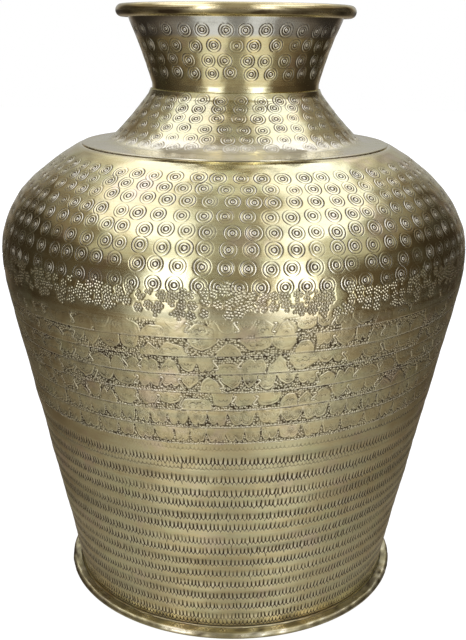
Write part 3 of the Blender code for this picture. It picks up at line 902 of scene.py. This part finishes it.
# bright on raised lumps and crease ridges: rubbed metal plus painted highlight
face.bright = (0.5 * np.clip(lumps * 2.2, 0, 1) * fade + 0.3 * creases * strength).astype(np.float32)
sheet = Sheet(th)
sheet.run(lip, face.h, face.dark, face.bright)
rest_r = 140.0
plate = resample([(wire_r, 0.0), (rest_r, 0.0), (rest_r - 7.0, 2.2), (30.0, 2.78), (6.0, 2.98)], 7.0)[1:]
rise = 3.0
sheet.run(plate, weight=0.3)
top = resample([(6.0, 3.98), (30.0, 3.78), (rest_r - 7.2, 3.2), (rest_r + 0.4, 1.0), (wire_r, 1.0)], 5.0)
cap_row = sum(len(r) for r in sheet.R) - 1
sheet.run(top, weight=0.3)
back = resample(arc(wire_r, FOOT_ROLL, FOOT_ROLL - SHEET, -90.0, 90.0, 24) + [(lip_r, 2 * FOOT_ROLL - SHEET)], 0.8)
sheet.run(back[1:], weight=0.2)
sheet.run(edge_round(back[-1], lip[0], 3), weight=0.4)


def base_mesh():
    R, Z = np.vstack(sheet.R), np.vstack(sheet.Z)
    # the lip's free edge wanders in and out round the pot and sits a little outward
    wander = 0.55 * np.sin(5 * th + 0.4) + 0.4 * np.sin(13 * th + 2.0) + 0.3 * np.sin(31 * th) + 0.25 * np.sin(57 * th + 1.0)
    near = np.clip((wire_r - R) / (wire_r - lip_r), 0, 1) * (R > lip_r - 0.9) * (Z > 4.0)
    R = R + near * (wander * 0.45 + 0.35)[None, :]
    # open the section at the centre: the plate's two faces end in fans
    R = np.vstack([R[cap_row + 1:], R[:cap_row + 1]])
    Z = np.vstack([Z[cap_row + 1:], Z[:cap_row + 1]])
    dk = np.vstack(sheet.dark)
    br = np.vstack(sheet.bright)
    dk = np.vstack([dk[cap_row + 1:], dk[:cap_row + 1]])
    br = np.vstack([br[cap_row + 1:], br[:cap_row + 1]])
    w = np.concatenate(sheet.w)
    w = np.r_[w[cap_row + 1:], w[:cap_row + 1]]
    mean = np.c_[R.mean(1), Z.mean(1)]
    step = np.r_[np.hypot(*np.diff(mean, axis=0).T), 0.0] * w
    caps = [(0, 3.99, True, (0.75, 0.06)), (len(R) - 1, 3.0 - 0.01, False, (0.25, 0.06))]
    return turned("kalash_base", R, Z, th, dk, br, step, closed=False, caps=caps)


base = base_mesh()

# ============================================================ finishes
class Graph:
    """Small helper for building shader node trees."""

    def __init__(self, tree):
        self.tree = tree
        tree.nodes.clear()

    def node(self, kind, **settings):
        n = self.tree.nodes.new(kind)
        for key, value in settings.items():
            setattr(n, key, value)
        return n

    def put(self, socket, value):
        if isinstance(value, bpy.types.NodeSocket):
            self.tree.links.new(value, socket)
        else:
            socket.default_value = value

    def math(self, op, a, b=0.0, clamp=False):
        n = self.node("ShaderNodeMath", operation=op, use_clamp=clamp)
        self.put(n.inputs[0], a)
        if op not in ("ARCSINE", "ABSOLUTE", "SINE", "COSINE"):
            self.put(n.inputs[1], b)
        return n.outputs[0]

    def add(self, a, b): return self.math("ADD", a, b)
    def sub(self, a, b): return self.math("SUBTRACT", a, b)
    def mul(self, a, b): return self.math("MULTIPLY", a, b)
    def clamp(self, a): return self.math("ADD", a, 0.0, clamp=True)

    def total(self, items):
        out = items[0]
        for item in items[1:]:
            out = self.add(out, item)
        return out

    def ramp(self, x, a, b, lo=0.0, hi=1.0):
        n = self.node("ShaderNodeMapRange", interpolation_type="SMOOTHSTEP")
        self.put(n.inputs["Value"], x)
        for key, value in (("From Min", a), ("From Max", b), ("To Min", lo), ("To Max", hi)):
            n.inputs[key].default_value = value
        return n.outputs["Result"]

    def band(self, x, a, b, soft_a, soft_b=None):
        """1 between a and b, falling to 0 over the soft widths outside."""
        soft_b = soft_a if soft_b is None else soft_b
        return self.mul(self.ramp(x, a - soft_a, a), self.ramp(x, b, b + soft_b, 1.0, 0.0))

    def mix(self, factor, a, b):
        n = self.node("ShaderNodeMix", data_type="RGBA")
        self.put(n.inputs["Factor"], factor)
        colours = [s for s in n.inputs if s.type == "RGBA"]
        for socket, value in zip(colours, (a, b)):
            if isinstance(value, tuple):
                value = (*value[:3], 1.0)
            self.put(socket, value)
        return [s for s in n.outputs if s.type == "RGBA"][0]

    def noise(self, vector, scale, detail=3.0, rough=0.55):
        n = self.node("ShaderNodeTexNoise")
        self.put(n.inputs["Vector"], vector)
        n.inputs["Scale"].default_value = scale
        n.inputs["Detail"].default_value = detail
        n.inputs["Roughness"].default_value = rough
        return n.outputs["Fac"] if "Fac" in n.outputs else n.outputs[0]

    def stretch(self, vector, sx, sy, sz):
        n = self.node("ShaderNodeMapping")
        self.put(n.inputs["Vector"], vector)
        n.inputs["Scale"].default_value = (sx, sy, sz)
        return n.outputs["Vector"]

    def attribute(self, name):
        return self.node("ShaderNodeAttribute", attribute_name=name).outputs["Fac"]


def brass(name, gold, dull, patina, rough, patina_level=0.0, patina_and_shade_weight=0.8, mottle=0.20, bump=0.12, low=None, silver=None):
    """Antiqued brass: rubbed gold, dull patches, patina held in the marks with painted shade from the dark attribute,
    and rubbed metal with painted highlight from the bright attribute.
    """
    mat = bpy.data.materials.new(name)
    mat.use_nodes = True
    g = Graph(mat.node_tree)
    where = g.node("ShaderNodeTexCoord").outputs["Object"]
    broad = g.noise(where, 11.0, 3.0)
    mid = g.noise(where, 55.0, 4.0, 0.6)
    fine = g.noise(where, 420.0, 2.0, 0.6)
    brushed = g.noise(g.stretch(where, 26.0, 26.0, 900.0), 1.0, 3.0, 0.6)
    patch = g.noise(where, 19.0, 5.0, 0.62)
    streak = g.noise(g.stretch(where, 6.0, 6.0, 150.0), 1.0, 2.0, 0.6)
    dark, bright = g.attribute("dark"), g.attribute("bright")
    tone = g.clamp(g.add(0.5, g.total([
        g.mul(g.sub(broad, 0.5), 2.4), g.mul(g.sub(mid, 0.5), 1.8), g.mul(g.sub(brushed, 0.5), 1.0),
        g.mul(g.sub(streak, 0.5), 2.2)])))
    stain_and_shade = g.clamp(g.total([
        g.mul(dark, patina_and_shade_weight), patina_level,
        g.mul(g.sub(mid, 0.5), mottle * 1.6), g.mul(g.sub(fine, 0.5), mottle),
        g.mul(g.sub(streak, 0.5), 0.78), g.ramp(patch, 0.55, 0.74, 0.0, 0.26),
        g.mul(bright, -0.25)]))
    colour = g.mix(tone, dull, gold)
    hue = g.noise(where, 27.0, 3.0, 0.6)
    colour = g.mix(g.ramp(hue, 0.56, 0.72, 0.0, 0.55), colour, (0.74, 0.72, 0.37))
    colour = g.mix(g.ramp(hue, 0.30, 0.43, 0.55, 0.0), colour, (0.76, 0.60, 0.42))
    if silver:
        # paler and greyer above a height, with an uneven border
        axis = g.node("ShaderNodeSeparateXYZ")
        g.put(axis.inputs[0], where)
        edge_z = g.add(axis.outputs["Z"], g.mul(g.sub(broad, 0.5), 0.008))
        zone = g.mul(g.ramp(edge_z, silver - 0.0022, silver + 0.0026, 0.0, 0.85),
                     g.ramp(axis.outputs["Z"], 0.5478, 0.5490, 1.0, 0.0))
        colour = g.mix(zone, colour, (0.62, 0.62, 0.57))
        colour = g.mix(g.ramp(axis.outputs["Z"], 0.5478, 0.5490, 0.0, 0.8), colour, (0.84, 0.70, 0.35))   # the roll is warmer
    # the patina colour laid in by the stain mix, which also carries the painted shade held in the dark attribute
    colour = g.mix(stain_and_shade, colour, patina)
    # pale where bright is set: rubbed metal plus painted highlight
    colour = g.mix(g.math("MULTIPLY", g.clamp(bright), 0.75), colour, (1.0, 0.93, 0.70))
    if low:
        # the wall is rubbed duller from height low[0] down to low[1]
        axis = g.node("ShaderNodeSeparateXYZ")
        g.put(axis.inputs[0], where)
        rough = g.ramp(axis.outputs["Z"], low[1], low[0], low[2] - 0.05, rough)
    shade = g.node("ShaderNodeBsdfPrincipled")
    g.put(shade.inputs["Base Color"], colour)
    # less metallic where stained and where bright, so the painted highlights stay pale in dark surroundings
    g.put(shade.inputs["Metallic"], g.math("SUBTRACT", 1.0, g.add(g.mul(stain_and_shade, 0.25), g.ramp(bright, 0.35, 0.95, 0.0, 0.52)), clamp=True))
    g.put(shade.inputs["Roughness"], g.math("ADD", rough, g.total([
        g.mul(stain_and_shade, 0.22), g.mul(g.sub(mid, 0.5), 0.16), g.mul(g.sub(brushed, 0.5), 0.10),
        g.mul(g.clamp(bright), -0.07)]), clamp=True))
    shade.inputs["Specular IOR Level"].default_value = 0.12
    if bump:
        height = g.total([g.mul(fine, 0.5), g.mul(brushed, 0.5), g.mul(mid, 0.6)])
        b = g.node("ShaderNodeBump")
        b.inputs["Strength"].default_value = bump
        b.inputs["Distance"].default_value = 0.0006
        g.put(b.inputs["Height"], height)
        g.put(shade.inputs["Normal"], b.outputs["Normal"])
    out = g.node("ShaderNodeOutputMaterial")
    g.put(out.inputs["Surface"], shade.outputs[0])
    return mat


GOLD = (0.79, 0.735, 0.44)
DULL = (0.69, 0.585, 0.325)
PATINA_AND_SHADE = (0.066, 0.044, 0.020)
materials = {
    "neck_brass": brass("neck_brass", (0.79, 0.725, 0.405), (0.69, 0.575, 0.295), PATINA_AND_SHADE, 0.15, silver=0.5325),
    "collar_brass": brass("collar_brass", (0.79, 0.735, 0.415), (0.69, 0.585, 0.31), PATINA_AND_SHADE, 0.18),
    "shoulder_brass": brass("shoulder_brass", (0.795, 0.735, 0.40), (0.695, 0.585, 0.29), PATINA_AND_SHADE, 0.19, low=(0.342, 0.298, 0.43)),
    "lower_brass": brass("lower_brass", (0.795, 0.729, 0.418), (0.697, 0.580, 0.303), PATINA_AND_SHADE, 0.19, low=(0.342, 0.298, 0.43)),
    "base_brass": brass("base_brass", (0.77, 0.70, 0.37), (0.66, 0.55, 0.27), PATINA_AND_SHADE, 0.24, patina_level=0.33),
    "wire_brass": brass("wire_brass", DULL, (0.45, 0.37, 0.2), PATINA_AND_SHADE, 0.42, patina_level=0.2),
    "braze_metal": brass("braze_metal", (0.62, 0.52, 0.33), (0.42, 0.34, 0.2), PATINA_AND_SHADE, 0.5, patina_level=0.2),
}

for piece, node, slot in ((neck, "neck_funnel", "neck_brass"),
                          (collar, "collar_cone", "collar_brass"),
                          (shoulder, "shoulder_shell", "shoulder_brass"),
                          (lower, "lower_body", "lower_brass"),
                          (base, "base_plate", "base_brass")):
    piece.data.materials.append(materials[slot])
    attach(piece, "root")
    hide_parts(node)

for node, slot in (("rim_wire", "wire_brass"), ("foot_wire", "wire_brass"),
                   ("waist_braze", "braze_metal"), ("collar_braze", "braze_metal"),
                   ("belly_braze", "braze_metal"), ("base_braze", "braze_metal")):
    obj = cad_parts[node]
    obj.data.materials.clear()
    obj.data.materials.append(materials[slot])

# ============================================================ studio
scene = bpy.context.scene
scene.view_settings.view_transform = "Standard"
scene.view_settings.look = "None"
scene.view_settings.exposure = 0.0
scene.view_settings.gamma = 1.0
scene.cycles.pixel_filter_width = 1.15

world = bpy.data.worlds.new("studio")
scene.world = world
world.use_nodes = True
g = Graph(world.node_tree)
ray = g.node("ShaderNodeTexCoord").outputs["Generated"]
split = g.node("ShaderNodeSeparateXYZ")
g.put(split.inputs[0], ray)
deg = 180.0 / math.pi
el = g.mul(g.math("ARCSINE", split.outputs["Z"]), deg)
az = g.mul(g.math("ARCTAN2", split.outputs["X"], g.mul(split.outputs["Y"], -1.0)), deg)
side = g.math("ABSOLUTE", az)
room = [
    0.029,                                                        # dark sides of the room
    g.mul(g.ramp(side, 10.0, 60.0, 1.0, 0.0), g.mul(g.ramp(el, -62.0, -48.0), 0.15)),
    g.mul(g.ramp(side, 40.0, 120.0, 1.0, 0.0), g.mul(g.band(el, -60.0, 20.0, 12.0), 0.09)),
    g.mul(g.band(az, -38.0, -21.0, 6.0), g.mul(g.band(el, -16.0, 44.0, 20.0, 14.0), 0.86)),
    g.mul(g.band(az, 20.0, 39.0, 6.0), g.mul(g.band(el, -16.0, 48.0, 20.0, 14.0), 0.95)),
    g.mul(g.band(side, 19.0, 44.0, 9.0), g.mul(g.band(el, -52.0, -16.0, 12.0, 20.0), 0.66)),
    g.mul(g.band(side, 24.0, 34.0, 4.0), g.mul(g.band(el, -8.0, 24.0, 7.0), 1.95)),
    g.mul(g.band(side, 44.0, 150.0, 18.0), g.mul(g.band(el, 51.0, 69.0, 9.0, 10.0), 1.62)),
    g.mul(g.ramp(side, 30.0, 64.0), g.mul(g.band(el, 30.0, 48.0, 10.0, 8.0), 0.22)),
    g.mul(g.band(side, 36.0, 70.0, 14.0), g.mul(g.band(el, 28.0, 52.0, 10.0), 0.46)),
    g.mul(g.ramp(side, 0.0, 40.0, 1.0, 0.0), g.mul(g.band(el, 36.0, 70.0, 12.0), 0.17)),
    g.mul(g.ramp(el, 66.0, 82.0), 0.29),
    g.mul(g.ramp(side, 138.0, 160.0), g.mul(g.band(el, 4.0, 38.0, 12.0), 0.42)),
    g.mul(g.ramp(side, 138.0, 160.0), g.mul(g.band(el, -35.0, -4.0, 9.0), 0.22)),
    g.mul(g.ramp(side, 122.0, 160.0), g.mul(g.band(el, 38.0, 80.0, 12.0, 8.0), 0.62)),
    g.mul(g.ramp(el, -22.0, -50.0, 0.0, 1.0), g.ramp(side, 30.0, 80.0, 0.11, 0.35)),
]
level = g.total(room)
tint = g.mix(g.ramp(level, 0.05, 0.45), (1.24, 0.98, 0.74), (1.0, 1.0, 1.0))
tint = g.mix(g.ramp(level, 0.7, 2.0), tint, (0.95, 1.0, 1.30))
lit = g.node("ShaderNodeBackground")
g.put(lit.inputs["Color"], tint)
g.put(lit.inputs["Strength"], level)
seen = g.node("ShaderNodeBackground")
seen.inputs["Color"].default_value = (1.0, 1.0, 1.0, 1.0)
seen.inputs["Strength"].default_value = 1.0
pick = g.node("ShaderNodeMixShader")
g.put(pick.inputs[0], g.node("ShaderNodeLightPath").outputs["Is Camera Ray"])
g.put(pick.inputs[1], lit.outputs[0])
g.put(pick.inputs[2], seen.outputs[0])
g.put(g.node("ShaderNodeOutputWorld").inputs["Surface"], pick.outputs[0])

# a pale paper floor under the pot: a flat plane that glows evenly, with a faint diffuse share
mesh = bpy.data.meshes.new("studio_floor")
reach = 6.0
mesh.from_pydata([(-reach, -reach, 0), (reach, -reach, 0), (reach, reach, 0), (-reach, reach, 0)],
                 [], [(0, 1, 2, 3)])
floor = bpy.data.objects.new("studio_floor", mesh)
scene.collection.objects.link(floor)
floor.location.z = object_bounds()[0][2] - 0.0002
paper = bpy.data.materials.new("studio_paper")
paper.use_nodes = True
g = Graph(paper.node_tree)
glow = g.node("ShaderNodeEmission")
glow.inputs["Strength"].default_value = 0.93
matte = g.node("ShaderNodeBsdfDiffuse")
matte.inputs["Color"].default_value = (0.30, 0.30, 0.30, 1.0)
both = g.node("ShaderNodeAddShader")
g.put(both.inputs[0], glow.outputs[0])
g.put(both.inputs[1], matte.outputs[0])
g.put(g.node("ShaderNodeOutputMaterial").inputs["Surface"], both.outputs[0])
mesh.materials.append(paper)
floor.visible_glossy = False
floor.visible_diffuse = False

# ============================================================ camera
camera_data = bpy.data.cameras.new("camera")
camera_data.sensor_fit = "AUTO"
camera_data.sensor_width = 36.0
camera_data.lens = 53.533
camera = bpy.data.objects.new("camera", camera_data)
scene.collection.objects.link(camera)
pitch, roll = math.radians(90.0 - 16.839), math.radians(0.556)
camera.matrix_world = (Matrix.Translation((0.0, -0.92164, 0.53599))
                       @ Matrix.Rotation(pitch, 4, "X") @ Matrix.Rotation(roll, 4, "Z"))
scene.camera = camera
